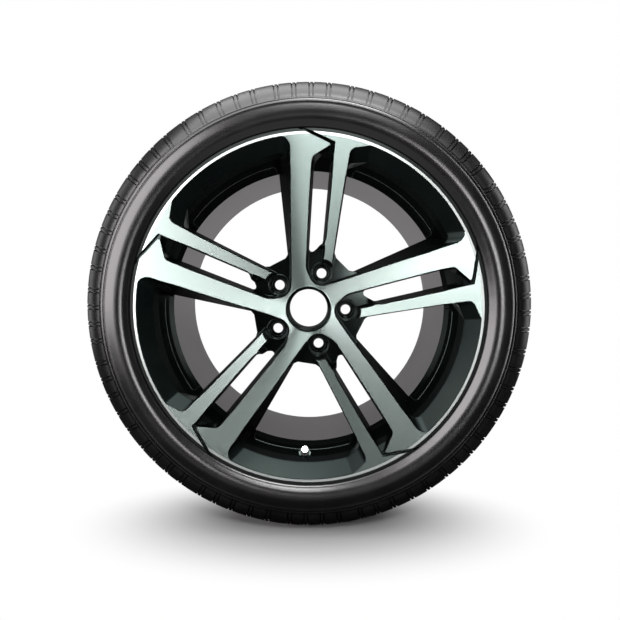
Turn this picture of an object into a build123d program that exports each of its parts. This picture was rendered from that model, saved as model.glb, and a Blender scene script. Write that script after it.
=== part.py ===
from build123d import *
import os
from math import atan2, cos, degrees, radians, sin, sqrt, tan

# Cast alloy car wheel with five split spokes, a low-profile tyre and a snap-in valve.
# The axle lies along Y and the styled face looks towards -Y, with +Z up. Millimetres.

# Rim, to the J flange contour for an eighteen-inch tyre.
RIM_WIDTH = 203.2
BEAD_SEAT_R = 231.0
FLANGE_HEIGHT = 17.3
FLANGE_WIDTH = 12.4
FLANGE_BEVEL = 8.0
FLANGE_EDGE = 5.2
FLANGE_EDGE_DROP = 3.0
BACK_EDGE = 4.5
BACK_FLARE = 16.0
BACK_WALL = 7.0
SEAT_TAPER = 5.0
SEAT_LENGTH = 21.0
HUMP_HEIGHT = 1.2
HUMP_LENGTH = 4.0
WELL_DEPTH = 21.0
WELL_LENGTH = 118.0
WELL_WALL_RUN = 14.0
RIM_WALL = 6.0
LIP_WIDTH = 3.8
LIP_CONE_DEPTH = 15.0
LIP_CONE_END = 17.0
BAND_RUN = 11.0
BAND_DROP = 4.6
LEDGE_RISE = 4.5
LEDGE_HALF = 5.0
CUT_PAST = 1.0
CUT_BEHIND = 15.0
CUT_INTO_RIM = 0.4

# Disc and hub.
OFFSET = 50.0
FACE_SINK = 22.0
HUB_FLAT_R = 34.0
BORE_R = 28.55
BORE_CHAMFER = 1.0
CAP_RECESS_R = 31.5
CAP_RECESS_DEPTH = 12.0
PAD_R = 76.0
PAD_RECESS_WIDTH = 22.0
PAD_RECESS_LENGTH = 30.0
PAD_RECESS_ANGLE = 78.0
PAD_RECESS_DEPTH = 6.0
BOLT_CIRCLE_R = 56.0
BOLT_HOLE_R = 7.5
BOLT_WELL_R = 13.0
BOLT_BOSS_R = 18.0
BOLT_ANGLE = 69.6
SPOKES = 5
DISC_CONE_BITE = 4.0
DISC_EDGE_RISE = 10.0
DISC_FOOT_BITE = 3.0

# Spoke edges: distance to the right of the spoke's centre line at the root and at the tip.
SPOKE_ROOT = 71.0
SPOKE_TIP_INSET = 29.5
THICK_LEFT = -25.0
THICK_RIGHT_ROOT = -2.7
THICK_RIGHT_TIP = 4.6
THIN_LEFT_ROOT = 21.3
THIN_LEFT_TIP = 34.7
THIN_RIGHT_ROOT = 34.9
THIN_RIGHT_TIP = 55.6
WALL_DRAFT = 3.5
FLANK_DRAFT_ROOT = 8.0
FLANK_DRAFT_TIP = 20.0
SPOKE_BACK = 5.0
WEB_R = 85.0
WINDOW_CORNER = 10.5
WINDOW_CORNER_ROUND = 9.0
WINDOW_CORNER_TURN = 6.6
WINDOW_LIP_ROUND = 14.0
WINDOW_FOOT_LEFT = 4.0
WINDOW_FOOT_RIGHT = 5.0
WINDOW_FOOT_RISE = 2.0
WINDOW_FOOT_DIP = 3.0
SLOT_FOOT_R = 77.0
SLOT_FOOT_ROUND = 5.0
SLOT_HEEL_R = 99.0
SLOT_HEEL_ROUND = 14.0
ROOT_ROUND = 28.0
POCKET_DEPTH = 46.0
POCKET_DRAFT = 4.0
POCKET_FACE_R = 91.0
POCKET_NEXT_RUN = 3.0
POCKET_NEAR_RUN = 7.0
POCKET_OUT_RUN = 15.0
POCKET_OUT_ANGLE = 60.0
POCKET_THIN_RUN = 40.0
SEAT_DEPTH = 49.0
SEAT_ANGLE = 30.0
CHANNEL_ROOT_RUN = 26.0
CHANNEL_TIP_INSET = 48.0
CHANNEL_LEFT_ROOT = 3.0
CHANNEL_LEFT_TIP = 8.0
CHANNEL_RIGHT_ROOT = 5.0
CHANNEL_RIGHT_TIP = 10.0
CHANNEL_FLOOR = 35.0
CHANNEL_DRAFT = 5.0
GROOVE_WIDTH = 4.6
GROOVE_DEPTH = 5.0
GROOVE_RUN = 52.0
GROOVE_ANGLE = 155.3
NECK_DROP = 29.0
NECK_ROUND = 9.0
TIP_DROP = 12.0
TIP_RISE = 30.0
TIP_GAP = 4.5
TIP_BLUNT = 3.0

# Tyre.
TYRE_R = 322.6
TREAD_HALF = 91.0
SHOULDER_DROP = 4.2
SIDEWALL_BULGE = 5.0
SIDEWALL_LOW = 0.26
SIDEWALL_MIDDLE = 0.46
SIDEWALL_HIGH = 0.66
MIDDLE_DROP = 1.4
HIGH_DROP = 2.0
PROTECTOR_HEIGHT = 7.2
TREAD_DEPTH = 7.0
TREAD_CASE = 14.5
SIDEWALL_CASE = 9.5
CASE_HIGH = 0.6
CASE_SHOULDER = 8.0
BEAD_HEIGHT = 9.0
BEAD_TOE = 1.0
RIB_GROOVE_WIDTH = 11.0
GROOVE_AT = 46.0
BEAD_CLEARANCE = 0.2

# Valve, measured along its own axis from the spot face on the styled side of the rim.
VALVE_ANGLE = 268.5
VALVE_WALL = 4.5
VALVE_HOLE_R = 5.75
VALVE_SPOT_R = 9.0
VALVE_SPOT_RUN = 30.0
VALVE_LIFT = 0.4
BACK_SPOT_R = 10.0
BACK_SPOT_RUN = 8.0
STEM_R = 7.0
STEM_TOP = 14.0
STEM_FOOT_R = 8.4
STEM_FOOT = 4.0
TUBE_R = 3.0
THREAD_R = 3.85
TUBE_TOP = 22.0
CORE_BORE_R = 2.6
CORE_LENGTH = 7.0
CORE_SINK = 1.5
PIN_R = 0.8
PIN_HEAD_R = 1.7
PIN_HEAD_HEIGHT = 1.5
PIN_SINK = 0.6
CAP_R = 5.2
CAP_WALL = 1.2
CAP_BEVEL = 0.8
RUBBER_CLEARANCE = 0.1
METAL_CLEARANCE = 0.1
PIN_CLEARANCE = 0.06
HEAD_CLEARANCE = 0.2

RIM_HALF = RIM_WIDTH / 2
FRONT = RIM_HALF + FLANGE_WIDTH
FLANGE_R = BEAD_SEAT_R + FLANGE_HEIGHT
LIP_OUTER_R = FLANGE_R - FLANGE_EDGE
LIP_INNER_R = LIP_OUTER_R - LIP_WIDTH
WELL_R = BEAD_SEAT_R - WELL_DEPTH
BARREL_R = WELL_R - RIM_WALL
CONE_R = BARREL_R + LIP_CONE_END
CONE_END = FRONT - LIP_CONE_DEPTH
SEAT_END = RIM_HALF - SEAT_LENGTH
SEAT_END_R = BEAD_SEAT_R - SEAT_LENGTH * tan(radians(SEAT_TAPER))
HUMP_R = SEAT_END_R + HUMP_HEIGHT
WALL_TOP = SEAT_END - HUMP_LENGTH
WELL_FRONT = WALL_TOP - WELL_WALL_RUN
SPOKE_TIP = LIP_INNER_R - SPOKE_TIP_INSET
STEP = 360 / SPOKES

# Local y of the section plane points to the styled side, so sections are drawn as (radius, height).
SECTION = Plane((0, 0, 0), x_dir=(1, 0, 0), z_dir=(0, 0, -1))
FACE = Plane.XZ
AXLE = Axis.Y


def turned(point, angle):
    x, y = point
    c = cos(radians(angle))
    s = sin(radians(angle))
    return (x * c - y * s, x * s + y * c)


def polar(radius, angle):
    return (radius * cos(radians(angle)), radius * sin(radians(angle)))


def edge(x_root, x_tip, y_root, y_tip):
    slope = (x_tip - x_root) / (y_tip - y_root)
    return (x_root - slope * y_root, slope)


def at_height(line, y):
    return (line[0] + line[1] * y, y)


def at_circle(line, radius):
    start, slope = line
    y = (sqrt(radius**2 * (1 + slope**2) - start**2) - start * slope) / (1 + slope**2)
    return (start + slope * y, y)


def meet(line, first, second):
    slope = (second[0] - first[0]) / (second[1] - first[1])
    start = first[0] - slope * first[1]
    y = (start - line[0]) / (line[1] - slope)
    return at_height(line, y)


def round_corners(*corners):
    for point, radius in corners:
        fillet(vertices().sort_by_distance(point)[0], radius)


def around(solid, angles):
    return [solid.rotate(AXLE, angle) for angle in angles]


def face_depth(radius):
    return FACE_SINK * (LIP_INNER_R - radius) / (LIP_INNER_R - HUB_FLAT_R)


def thick_left(depth):
    x_root = THICK_LEFT - (depth - face_depth(SPOKE_ROOT)) * tan(radians(FLANK_DRAFT_ROOT))
    x_tip = THICK_LEFT - (depth - face_depth(SPOKE_TIP)) * tan(radians(FLANK_DRAFT_TIP))
    return edge(x_root, x_tip, SPOKE_ROOT, SPOKE_TIP)


def wall(x_root, x_tip, depth, side):
    draft = side * tan(radians(WALL_DRAFT))
    x_root = x_root + (depth - face_depth(SPOKE_ROOT)) * draft
    x_tip = x_tip + (depth - face_depth(SPOKE_TIP)) * draft
    return edge(x_root, x_tip, SPOKE_ROOT, SPOKE_TIP)


def thick_right(depth):
    return wall(THICK_RIGHT_ROOT, THICK_RIGHT_TIP, depth, 1)


def thin_left(depth):
    return wall(THIN_LEFT_ROOT, THIN_LEFT_TIP, depth, -1)


def thin_right(depth):
    return wall(THIN_RIGHT_ROOT, THIN_RIGHT_TIP, depth, 1)


def window_lines(depth, outer_r):
    left = thin_right(depth)
    right = thick_left(depth)
    corner = at_circle(left, outer_r - WINDOW_CORNER)
    shoulder = polar(outer_r, degrees(atan2(corner[1], corner[0])) - WINDOW_CORNER_TURN)
    lip = turned(at_circle(right, outer_r), -STEP)
    middle = polar(outer_r, degrees(atan2(shoulder[1] + lip[1], shoulder[0] + lip[0])))
    return left, right, corner, shoulder, middle, lip


def window_front(depth, outer_r):
    left, right, corner, shoulder, middle, lip = window_lines(depth, outer_r)
    with BuildLine() as outline:
        Polyline(lip, turned(at_circle(right, WEB_R), -STEP), at_circle(left, WEB_R), corner, shoulder)
        ThreePointArc(shoulder, middle, lip)
    make_face(outline.edges())
    round_corners((corner, WINDOW_CORNER_ROUND), (lip, WINDOW_LIP_ROUND))


def window_back(depth, outer_r):
    left, right, corner, shoulder, middle, lip = window_lines(depth, outer_r)
    side_left = at_circle(left, WEB_R + WINDOW_FOOT_LEFT + WINDOW_FOOT_RISE)
    side_right = turned(at_circle(right, WEB_R + WINDOW_FOOT_RISE), -STEP)
    foot_left = at_circle((left[0] + WINDOW_FOOT_LEFT, left[1]), WEB_R)
    foot_line = (right[0] - WINDOW_FOOT_RIGHT, right[1])
    foot_right = turned(at_circle(foot_line, WEB_R - WINDOW_FOOT_DIP), -STEP)
    with BuildLine() as outline:
        Polyline(lip, side_right, foot_right, foot_left, side_left, corner, shoulder)
        ThreePointArc(shoulder, middle, lip)
    make_face(outline.edges())


def arrow_tip(depth, line):
    """Neck and point of the arrow at a spoke's outer end, beside the thin spoke's edge."""
    neck = at_height(thick_right(depth), LIP_INNER_R - NECK_DROP)
    tip_x = at_height(line, LIP_INNER_R - TIP_DROP)[0] - TIP_GAP
    return neck, (tip_x, neck[1] + (tip_x - neck[0]) * tan(radians(TIP_RISE)))


def slot_outline(depth):
    right = thin_left(depth)
    foot = at_circle(thick_right(depth), SLOT_FOOT_R)
    heel = at_circle(right, SLOT_HEEL_R)
    neck, tip = arrow_tip(depth, right)
    with BuildLine() as outline:
        Polyline(foot, heel, at_height(right, tip[1]), tip, neck, close=True)
    make_face(outline.edges())
    round_corners((foot, SLOT_FOOT_ROUND), (heel, SLOT_HEEL_ROUND), (neck, NECK_ROUND))


# Cutters reach from just in front of the lip to behind the spokes.
CUT_FRONT = FRONT + CUT_PAST
CUT_BACK = OFFSET - CUT_BEHIND
with BuildPart() as window:
    with BuildSketch(FACE.offset(CUT_FRONT)):
        cone_slope = (LIP_INNER_R - CONE_R) / LIP_CONE_DEPTH
        window_front(-CUT_PAST, LIP_INNER_R + cone_slope * CUT_PAST + CUT_INTO_RIM)
    with BuildSketch(FACE.offset(CONE_END)):
        window_front(LIP_CONE_DEPTH, CONE_R + CUT_INTO_RIM)
    loft(ruled=True)
    with BuildSketch(FACE.offset(CONE_END)):
        window_back(LIP_CONE_DEPTH, CONE_R + CUT_INTO_RIM)
    with BuildSketch(FACE.offset(CUT_BACK)):
        window_back(FRONT - CUT_BACK, CONE_R + CUT_INTO_RIM)
    loft(ruled=True)

with BuildPart() as slot:
    with BuildSketch(FACE.offset(CUT_FRONT)):
        slot_outline(-CUT_PAST)
    with BuildSketch(FACE.offset(CUT_BACK)):
        slot_outline(FRONT - CUT_BACK)
    loft(ruled=True)

# Sunk pocket round one bolt, between two thick spokes; the thin spoke stands in it.
BOLT_AT = polar(BOLT_CIRCLE_R, BOLT_ANGLE)
POCKET_TOP = face_depth(POCKET_FACE_R) - CUT_PAST
with BuildPart() as pocket:
    with BuildSketch(FACE.offset(FRONT - POCKET_TOP)):
        near = thick_right(face_depth(SPOKE_ROOT))
        next_low = turned((THICK_LEFT, HUB_FLAT_R), -STEP)
        next_high = turned((THICK_LEFT, WEB_R + POCKET_NEXT_RUN), -STEP)
        root = meet(near, next_low, next_high)
        top = at_height(near, WEB_R + POCKET_NEAR_RUN)
        out = polar(WEB_R + POCKET_OUT_RUN, POCKET_OUT_ANGLE)
        with BuildLine():
            Polyline(root, top, out, next_high, close=True)
        make_face()
        round_corners((root, ROOT_ROUND))
    extrude(amount=POCKET_TOP - POCKET_DEPTH, taper=POCKET_DRAFT)
    with BuildSketch(FACE.offset(FRONT - POCKET_TOP)):
        thin_l = thin_left(face_depth(SPOKE_ROOT))
        thin_r = thin_right(face_depth(SPOKE_ROOT))
        with BuildLine():
            Polyline(
                at_height(thin_l, BOLT_AT[1]),
                at_height(thin_l, WEB_R + POCKET_THIN_RUN),
                at_height(thin_r, WEB_R + POCKET_THIN_RUN),
                at_height(thin_r, BOLT_AT[1]),
                close=True,
            )
        make_face()
    extrude(amount=POCKET_TOP - POCKET_DEPTH - CUT_PAST, taper=-WALL_DRAFT, mode=Mode.SUBTRACT)
    with BuildSketch(FACE.offset(FRONT - POCKET_TOP)):
        with Locations(BOLT_AT):
            Circle(BOLT_BOSS_R)
    extrude(amount=POCKET_TOP - POCKET_DEPTH)

# Bolt well, conical seat and through hole.
with BuildPart() as bolt_hole:
    with BuildSketch(Plane(FACE.from_local_coords((*BOLT_AT, 0)), x_dir=(1, 0, 0), z_dir=(0, 0, -1))):
        seat_drop = (BOLT_WELL_R - BOLT_HOLE_R) / tan(radians(SEAT_ANGLE))
        with BuildLine():
            Polyline(
                (0, FRONT - POCKET_TOP),
                (BOLT_WELL_R, FRONT - POCKET_TOP),
                (BOLT_WELL_R, FRONT - SEAT_DEPTH),
                (BOLT_HOLE_R, FRONT - SEAT_DEPTH - seat_drop),
                (BOLT_HOLE_R, OFFSET - CUT_PAST),
                (0, OFFSET - CUT_PAST),
                close=True,
            )
        make_face()
    revolve(axis=Axis(FACE.from_local_coords((*BOLT_AT, 0)), (0, 1, 0)))

# Lightening channel in the back of one thick spoke.
with BuildPart() as channel:
    channel_mouth = OFFSET - SPOKE_BACK
    with BuildSketch(FACE.offset(channel_mouth)):
        channel_root = PAD_R + CHANNEL_ROOT_RUN
        channel_tip = LIP_INNER_R - CHANNEL_TIP_INSET
        with BuildLine():
            Polyline(
                (THICK_LEFT - CHANNEL_LEFT_ROOT, channel_root),
                (THICK_LEFT - CHANNEL_LEFT_TIP, channel_tip),
                (THICK_RIGHT_TIP - CHANNEL_RIGHT_TIP, channel_tip),
                (THICK_RIGHT_ROOT - CHANNEL_RIGHT_ROOT, channel_root),
                close=True,
            )
        make_face()
    extrude(amount=FRONT - CHANNEL_FLOOR - channel_mouth, taper=CHANNEL_DRAFT)

# Narrow groove beside one arrow-shaped spoke end, running out through the lip.
with BuildPart() as groove:
    with BuildSketch(FACE.offset(CUT_FRONT)):
        tip_line = thin_left(face_depth(LIP_INNER_R - TIP_DROP))
        neck, tip = arrow_tip(0, tip_line)
        run = polar(GROOVE_RUN, GROOVE_ANGLE)
        rise = polar(GROOVE_WIDTH, GROOVE_ANGLE - 90)
        groove_end = (tip[0] + run[0], tip[1] + run[1])
        upper = (tip[0] + rise[0], tip[1] + rise[1])
        upper_end = (groove_end[0] + rise[0], groove_end[1] + rise[1])
        blunt_run = polar(TIP_BLUNT, GROOVE_ANGLE)
        blunt_fall = polar(TIP_BLUNT, TIP_RISE)
        with BuildLine():
            Polyline(
                (tip[0] - blunt_fall[0], tip[1] - blunt_fall[1]),
                (tip[0] + blunt_run[0], tip[1] + blunt_run[1]),
                groove_end,
                upper_end,
                meet(tip_line, upper, upper_end),
                at_height(tip_line, tip[1] - TIP_BLUNT),
                close=True,
            )
        make_face()
    extrude(amount=-GROOVE_DEPTH - CUT_PAST)

# Valve hole, square to the sloping front wall of the drop centre.
VALVE_TILT = degrees(atan2(WELL_WALL_RUN, HUMP_R - WELL_R))
VALVE_OUT = Vector(*polar(1, VALVE_ANGLE), 0)
VALVE_OUT = Vector(VALVE_OUT.X, 0, VALVE_OUT.Y)
VALVE_DIRECTION = VALVE_OUT * -sin(radians(VALVE_TILT)) + Vector(0, -cos(radians(VALVE_TILT)), 0)
VALVE_SEAT = VALVE_OUT * (HUMP_R / 2 + WELL_R / 2) + Vector(0, -(WALL_TOP + WELL_FRONT) / 2, 0)
VALVE_SEAT = VALVE_SEAT + VALVE_DIRECTION * VALVE_LIFT
VALVE_FLOOR = VALVE_SEAT + VALVE_DIRECTION * VALVE_WALL
VALVE_SIDE = VALVE_OUT.cross(Vector(0, 1, 0))
VALVE_SECTION = Plane(VALVE_FLOOR, x_dir=VALVE_SIDE, z_dir=VALVE_SIDE.cross(VALVE_DIRECTION))
VALVE_AXIS = Axis(VALVE_FLOOR, VALVE_DIRECTION)

with BuildPart() as valve_hole:
    with BuildSketch(VALVE_SECTION):
        with BuildLine():
            Polyline(
                (0, VALVE_SPOT_RUN),
                (VALVE_SPOT_R, VALVE_SPOT_RUN),
                (VALVE_SPOT_R, 0),
                (VALVE_HOLE_R, 0),
                (VALVE_HOLE_R, -VALVE_WALL),
                (BACK_SPOT_R, -VALVE_WALL),
                (BACK_SPOT_R, -VALVE_WALL - BACK_SPOT_RUN),
                (0, -VALVE_WALL - BACK_SPOT_RUN),
                close=True,
            )
        make_face()
    revolve(axis=VALVE_AXIS)

with BuildPart() as wheel:
    # Turned blank of the disc: bowed face in front, pad and spoke backs behind.
    with BuildSketch(SECTION):
        hub_face = FRONT - FACE_SINK
        with BuildLine():
            Polyline(
                (0, OFFSET),
                (0, hub_face),
                (HUB_FLAT_R, hub_face),
                (LIP_INNER_R, FRONT),
                (LIP_INNER_R + LIP_WIDTH / 2, FRONT),
                (CONE_R + DISC_CONE_BITE, CONE_END),
                (BARREL_R + DISC_EDGE_RISE, WALL_TOP),
                (BARREL_R + DISC_FOOT_BITE, OFFSET + SPOKE_BACK),
                (PAD_R + SPOKE_BACK, OFFSET + SPOKE_BACK),
                (PAD_R, OFFSET),
                close=True,
            )
        make_face()
    revolve(axis=AXLE)
    spoke_turns = [STEP * turn for turn in range(SPOKES)]
    add(around(window.part, spoke_turns), mode=Mode.SUBTRACT)
    add(around(slot.part, spoke_turns), mode=Mode.SUBTRACT)
    add(around(pocket.part, spoke_turns), mode=Mode.SUBTRACT)
    add(around(channel.part, spoke_turns), mode=Mode.SUBTRACT)

    # Rim: flanges, bead seats, hump and drop centre outside; lip cone, ledge and barrel inside.
    with BuildSketch(SECTION):
        well_back = WELL_FRONT - WELL_LENGTH
        with BuildLine():
            Polyline(
                (LIP_INNER_R, FRONT),
                (LIP_OUTER_R, FRONT),
                (FLANGE_R, FRONT - FLANGE_EDGE_DROP),
                (FLANGE_R, RIM_HALF + FLANGE_BEVEL),
                (FLANGE_R - FLANGE_BEVEL, RIM_HALF),
                (BEAD_SEAT_R, RIM_HALF),
                (SEAT_END_R, SEAT_END),
                (HUMP_R, WALL_TOP),
                (WELL_R, WELL_FRONT),
                (WELL_R, well_back),
                (SEAT_END_R, -SEAT_END),
                (BEAD_SEAT_R, -RIM_HALF),
                (FLANGE_R - FLANGE_BEVEL, -RIM_HALF),
                (FLANGE_R, -RIM_HALF - FLANGE_BEVEL),
                (FLANGE_R, -FRONT),
                (FLANGE_R - BACK_EDGE, -FRONT),
                (SEAT_END_R - BACK_WALL, BACK_FLARE - FRONT),
                (SEAT_END_R - BACK_WALL, -SEAT_END - RIM_WALL),
                (BARREL_R, well_back - RIM_WALL / 2),
                (BARREL_R, WELL_FRONT - LEDGE_HALF),
                (BARREL_R + LEDGE_RISE, WELL_FRONT + LEDGE_HALF),
                (CONE_R - BAND_DROP, CONE_END - BAND_RUN),
                (CONE_R, CONE_END),
                close=True,
            )
        make_face()
    revolve(axis=AXLE)

    # Bolt holes, hub bore and the recess in front of it.
    add(around(bolt_hole.part, spoke_turns), mode=Mode.SUBTRACT)
    with BuildSketch(SECTION):
        with BuildLine():
            Polyline(
                (0, OFFSET - BORE_CHAMFER),
                (BORE_R + 2 * BORE_CHAMFER, OFFSET - BORE_CHAMFER),
                (BORE_R, OFFSET + BORE_CHAMFER),
                (BORE_R, hub_face - CAP_RECESS_DEPTH),
                (CAP_RECESS_R, hub_face - CAP_RECESS_DEPTH),
                (CAP_RECESS_R, hub_face + CUT_PAST),
                (0, hub_face + CUT_PAST),
                close=True,
            )
        make_face()
    revolve(axis=AXLE, mode=Mode.SUBTRACT)

    # Shallow recesses in the mounting pad between the bolt holes.
    with BuildSketch(FACE.offset(OFFSET)):
        with PolarLocations(BOLT_CIRCLE_R, SPOKES, start_angle=BOLT_ANGLE + STEP / 2):
            Trapezoid(PAD_RECESS_WIDTH, PAD_RECESS_LENGTH, PAD_RECESS_ANGLE, rotation=-90)
    extrude(amount=PAD_RECESS_DEPTH, mode=Mode.SUBTRACT)

    add(around(groove.part, spoke_turns), mode=Mode.SUBTRACT)
    add(valve_hole.part, mode=Mode.SUBTRACT)
wheel.part.label = "wheel"

# Tyre case with its beads on the rim, bulged sidewalls and three grooves round the tread.
with BuildPart() as tyre:
    with BuildSketch(SECTION):
        height = TYRE_R - FLANGE_R
        gap = BEAD_CLEARANCE
        bevel_gap = gap * (sqrt(2) - 1)
        floor = TYRE_R - TREAD_DEPTH
        half_groove = RIB_GROOVE_WIDTH / 2
        with BuildLine():
            Polyline(
                (SEAT_END_R + gap, SEAT_END + BEAD_TOE),
                (BEAD_SEAT_R + gap, RIM_HALF - gap),
                (FLANGE_R - FLANGE_BEVEL + bevel_gap, RIM_HALF - gap),
                (FLANGE_R + PROTECTOR_HEIGHT, RIM_HALF + FLANGE_BEVEL + PROTECTOR_HEIGHT - gap),
                (FLANGE_R + SIDEWALL_LOW * height, FRONT + SIDEWALL_BULGE),
                (FLANGE_R + SIDEWALL_MIDDLE * height, FRONT + SIDEWALL_BULGE - MIDDLE_DROP),
                (FLANGE_R + SIDEWALL_HIGH * height, FRONT - HIGH_DROP),
                (TYRE_R - SHOULDER_DROP, TREAD_HALF),
                (TYRE_R, GROOVE_AT + half_groove),
                (floor, GROOVE_AT + half_groove),
                (floor, GROOVE_AT - half_groove),
                (TYRE_R, GROOVE_AT - half_groove),
                (TYRE_R, half_groove),
                (floor, half_groove),
                (floor, 0),
                (TYRE_R - TREAD_CASE, 0),
                (TYRE_R - TREAD_CASE, TREAD_HALF - CASE_SHOULDER),
                (FLANGE_R + CASE_HIGH * height, FRONT - SIDEWALL_CASE),
                (FLANGE_R + PROTECTOR_HEIGHT, FRONT - SIDEWALL_CASE),
                (BEAD_SEAT_R + BEAD_HEIGHT, RIM_HALF - SIDEWALL_CASE),
                close=True,
            )
        make_face()
        mirror(about=Plane.XZ)
    revolve(axis=AXLE)
tyre.part.label = "tyre"

# Rubber body: foot inside the tyre, neck in the hole, retaining collar and stem outside.
FOOT_TOP = -VALVE_WALL - RUBBER_CLEARANCE
TUBE_SOCKET_R = TUBE_R + RUBBER_CLEARANCE / 2
with BuildPart() as valve_stem:
    with BuildSketch(VALVE_SECTION):
        with BuildLine():
            Polyline(
                (TUBE_SOCKET_R, FOOT_TOP - STEM_FOOT),
                (STEM_FOOT_R, FOOT_TOP - STEM_FOOT),
                (STEM_FOOT_R, FOOT_TOP),
                (VALVE_HOLE_R - RUBBER_CLEARANCE, FOOT_TOP),
                (VALVE_HOLE_R - RUBBER_CLEARANCE, RUBBER_CLEARANCE),
                (STEM_R, RUBBER_CLEARANCE),
                (STEM_R, STEM_TOP),
                (TUBE_SOCKET_R, STEM_TOP),
                close=True,
            )
        make_face()
    revolve(axis=VALVE_AXIS)
valve_stem.part.label = "valve_stem"

# Brass tube: smooth in the rubber, threaded size above it, stepped bore for the core.
CORE_TOP = TUBE_TOP - CORE_SINK
CORE_SHOULDER = CORE_TOP - CORE_LENGTH
AIR_BORE_R = PIN_HEAD_R + HEAD_CLEARANCE
with BuildPart() as valve_tube:
    with BuildSketch(VALVE_SECTION):
        with BuildLine():
            Polyline(
                (AIR_BORE_R, FOOT_TOP - STEM_FOOT),
                (TUBE_R, FOOT_TOP - STEM_FOOT),
                (TUBE_R, STEM_TOP + RUBBER_CLEARANCE),
                (THREAD_R, STEM_TOP + RUBBER_CLEARANCE),
                (THREAD_R, TUBE_TOP),
                (CORE_BORE_R, TUBE_TOP),
                (CORE_BORE_R, CORE_SHOULDER),
                (AIR_BORE_R, CORE_SHOULDER),
                close=True,
            )
        make_face()
    revolve(axis=VALVE_AXIS)
valve_tube.part.label = "valve_tube"

# Core: plug screwed into the tube, with the guide hole for the pin.
PIN_HOLE_R = PIN_R + PIN_CLEARANCE
with BuildPart() as valve_core:
    with BuildSketch(VALVE_SECTION):
        with BuildLine():
            Polyline(
                (PIN_HOLE_R, CORE_SHOULDER + PIN_CLEARANCE),
                (CORE_BORE_R - PIN_CLEARANCE, CORE_SHOULDER + PIN_CLEARANCE),
                (CORE_BORE_R - PIN_CLEARANCE, CORE_TOP),
                (PIN_HOLE_R, CORE_TOP),
                close=True,
            )
        make_face()
    revolve(axis=VALVE_AXIS)
valve_core.part.label = "valve_core"

# Pin: closing head under the core, tip just below the tube mouth.
with BuildPart() as valve_pin:
    with BuildSketch(VALVE_SECTION):
        head_bottom = CORE_SHOULDER - PIN_HEAD_HEIGHT
        with BuildLine():
            Polyline(
                (0, head_bottom),
                (PIN_HEAD_R, head_bottom),
                (PIN_HEAD_R, CORE_SHOULDER),
                (PIN_R, CORE_SHOULDER),
                (PIN_R, TUBE_TOP - PIN_SINK),
                (0, TUBE_TOP - PIN_SINK),
                close=True,
            )
        make_face()
    revolve(axis=VALVE_AXIS)
valve_pin.part.label = "valve_pin"

# Cap: bright cup screwed down over the thread onto the rubber stem.
CAP_FOOT = STEM_TOP + METAL_CLEARANCE
CAP_TOP = TUBE_TOP + METAL_CLEARANCE + CAP_WALL
with BuildPart() as valve_cap:
    with BuildSketch(VALVE_SECTION):
        cap_bore = THREAD_R + METAL_CLEARANCE
        with BuildLine():
            Polyline(
                (cap_bore, CAP_FOOT),
                (CAP_R, CAP_FOOT),
                (CAP_R, CAP_TOP - CAP_BEVEL),
                (CAP_R - CAP_BEVEL, CAP_TOP),
                (0, CAP_TOP),
                (0, CAP_TOP - CAP_WALL),
                (cap_bore, CAP_TOP - CAP_WALL),
                close=True,
            )
        make_face()
    revolve(axis=VALVE_AXIS)
valve_cap.part.label = "valve_cap"

os.makedirs("parts", exist_ok=True)
export_step(wheel.part, "parts/wheel.step")
export_step(tyre.part, "parts/tyre.step")
export_step(valve_stem.part, "parts/valve_stem.step")
export_step(valve_tube.part, "parts/valve_tube.step")
export_step(valve_core.part, "parts/valve_core.step")
export_step(valve_pin.part, "parts/valve_pin.step")
export_step(valve_cap.part, "parts/valve_cap.step")
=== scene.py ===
import math

import bpy
import numpy as np
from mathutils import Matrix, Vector


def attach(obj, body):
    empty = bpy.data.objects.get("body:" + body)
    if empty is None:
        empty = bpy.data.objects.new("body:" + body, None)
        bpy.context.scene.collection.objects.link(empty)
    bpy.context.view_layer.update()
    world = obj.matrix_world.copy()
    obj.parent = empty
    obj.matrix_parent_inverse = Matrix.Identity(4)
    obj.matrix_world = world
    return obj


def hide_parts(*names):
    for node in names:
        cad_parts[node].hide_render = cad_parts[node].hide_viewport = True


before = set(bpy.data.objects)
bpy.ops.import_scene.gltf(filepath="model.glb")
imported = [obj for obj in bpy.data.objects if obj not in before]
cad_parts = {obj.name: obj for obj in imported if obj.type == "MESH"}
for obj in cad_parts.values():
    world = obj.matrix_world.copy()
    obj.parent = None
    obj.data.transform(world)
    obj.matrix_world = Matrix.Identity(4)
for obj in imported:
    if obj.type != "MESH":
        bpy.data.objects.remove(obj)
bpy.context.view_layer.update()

# Metres and degrees. The axle lies along Y, and heights are measured towards the styled side, which is -Y.
SPOKES = 5
SPOKE_STEP = 360 / SPOKES

# Wheel: the machined cone from hub to lip, and the inside of the rim as (height, radius).
HUB_FLAT_R = 0.034
HUB_FACE_HEIGHT = 0.092
LIP_HEIGHT = 0.114
LIP_INNER_R = 0.2393
LIP_OUTER_R = 0.2431
BARREL_R = 0.204
LEDGE_FOOT_HEIGHT = 0.0576
BAND_END_HEIGHT = 0.088
CONE_END_HEIGHT = 0.099
BAND_LEAST_R = 0.215
RIM_INSIDE = (
    (LEDGE_FOOT_HEIGHT, BARREL_R),
    (0.0676, 0.2085),
    (BAND_END_HEIGHT, 0.2164),
    (CONE_END_HEIGHT, 0.221),
)

# The wheel's finishes are told apart by where a face lies and by how far its normal points to the front, or
# in towards the axle, with a little slack where two finishes meet.
FACE_TOWARDS = 0.98
CONE_TOWARDS = 0.5
FLANGE_TOWARDS = 0.2
FLANK_TOWARDS = 0.35
INSIDE_INWARD = 0.3
FACE_SLACK = 0.0012
BARREL_SLACK = 0.001
LIP_SLACK = 0.0002

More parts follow.
